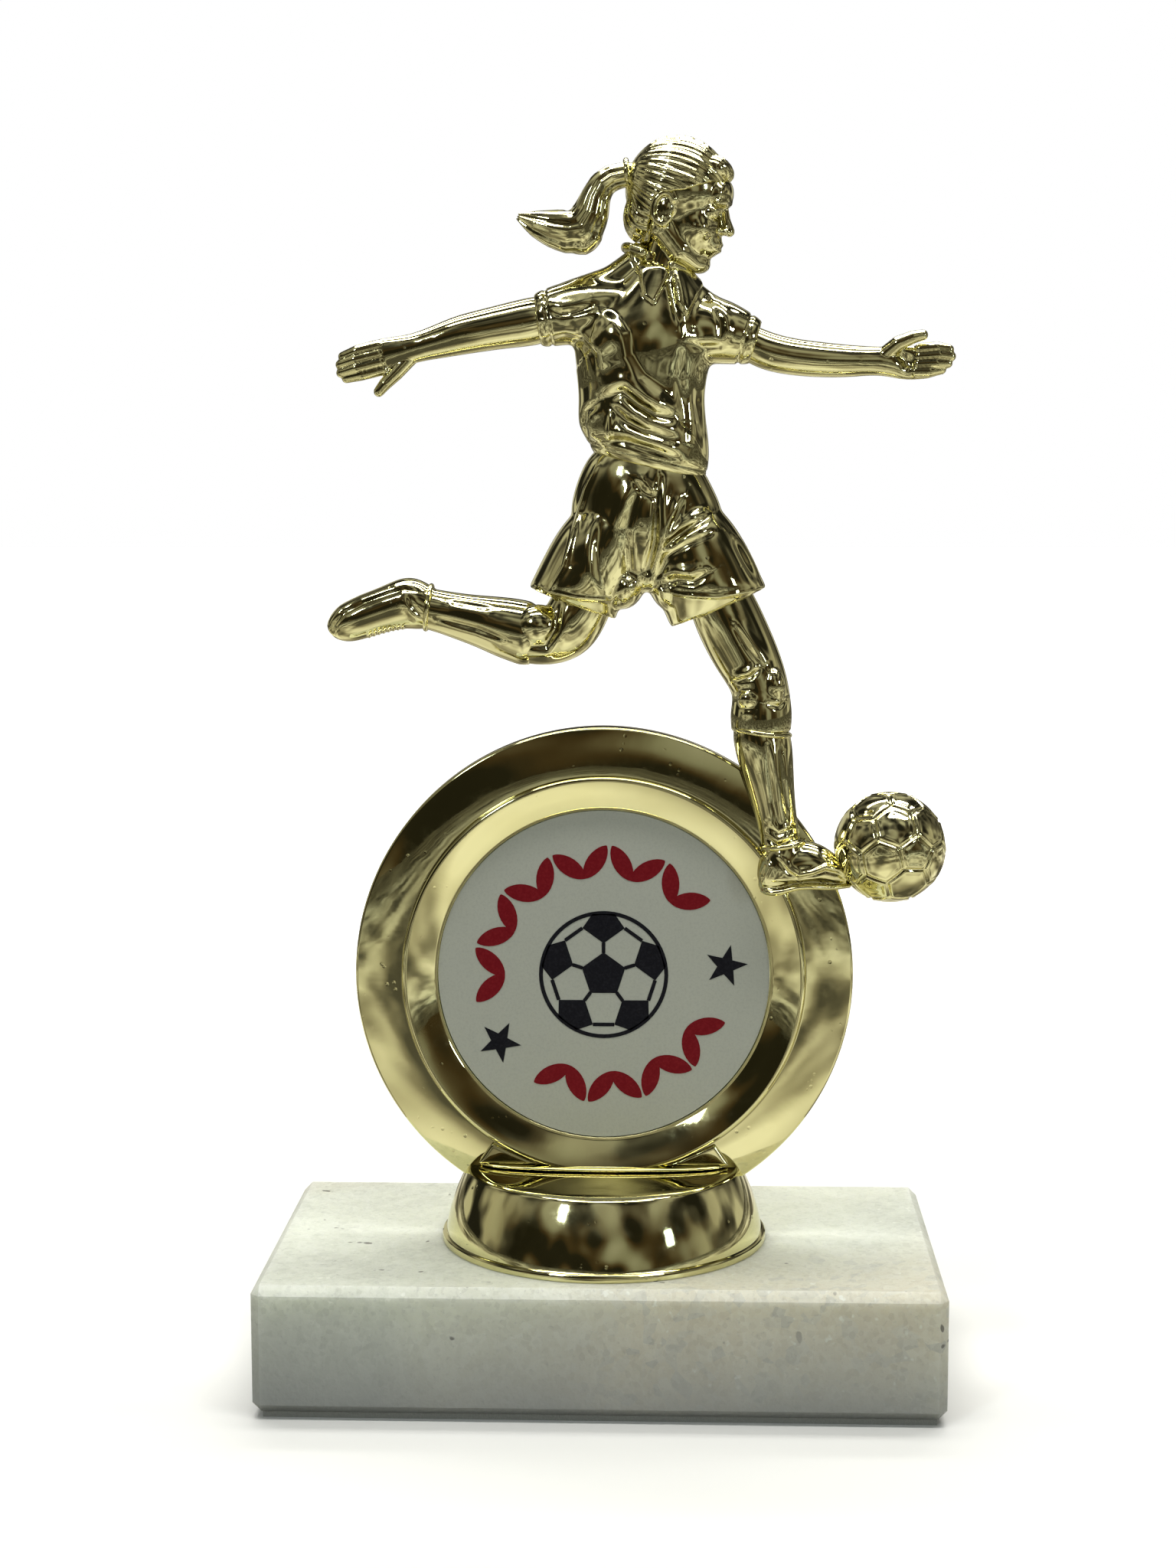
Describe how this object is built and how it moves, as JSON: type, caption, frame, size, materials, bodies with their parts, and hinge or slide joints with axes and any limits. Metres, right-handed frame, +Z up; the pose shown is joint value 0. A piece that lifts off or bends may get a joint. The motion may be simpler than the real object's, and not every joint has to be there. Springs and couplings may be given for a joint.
{
  "type": "figure trophy",
  "caption": "Gold metallised soccer player kicking a ball, on a round insert ring and foot bolted to a white marble slab; the figure turns on its bolt.",
  "frame": {"origin": "on the stud's axis, at the underside of the felt", "axes": "+Z up along the stud, the disc faces -Y, the ball is on +X"},
  "size_m": [0.1032, 0.0572, 0.1866],
  "materials": {
    "gold": "vacuum metallised pale gold, glossy",
    "marble": "polished white marble",
    "felt": "pressed felt",
    "disc": "satin off-white print face",
    "adhesive": "double-sided foam",
    "brass": "turned brass",
    "zinc": "zinc plated"
  },
  "bodies": {
    "base": {"marble_base": "marble", "felt_sheet": "felt"},
    "figure": {"insert_disc": "disc", "disc_adhesive": "adhesive", "threaded_insert": "brass", "stud": "zinc", "washer": "zinc", "hex_nut": "zinc", "foot_shell": "gold", "ring_collar": "gold", "ring_gussets": "gold", "insert_ring": "gold", "shirt": "gold", "trailing_sleeve": "gold", "leading_sleeve": "gold", "trailing_arm": "gold", "leading_arm": "gold", "trailing_hand": "gold", "leading_hand": "gold", "neck": "gold", "head": "gold", "hair": "gold", "ponytail": "gold", "shorts": "gold", "kicking_thigh": "gold", "kicking_sock": "gold", "kicking_boot": "gold", "standing_thigh": "gold", "standing_sock_band": "gold", "standing_sock": "gold", "standing_boot": "gold", "ball": "gold"}
  },
  "joints": [
    {"name": "riser_swivel", "type": "hinge", "parent": "base", "child": "figure", "pos_m": [0, 0, 0.02005], "axis": [0, 0, 1], "continuous": true}
  ]
}
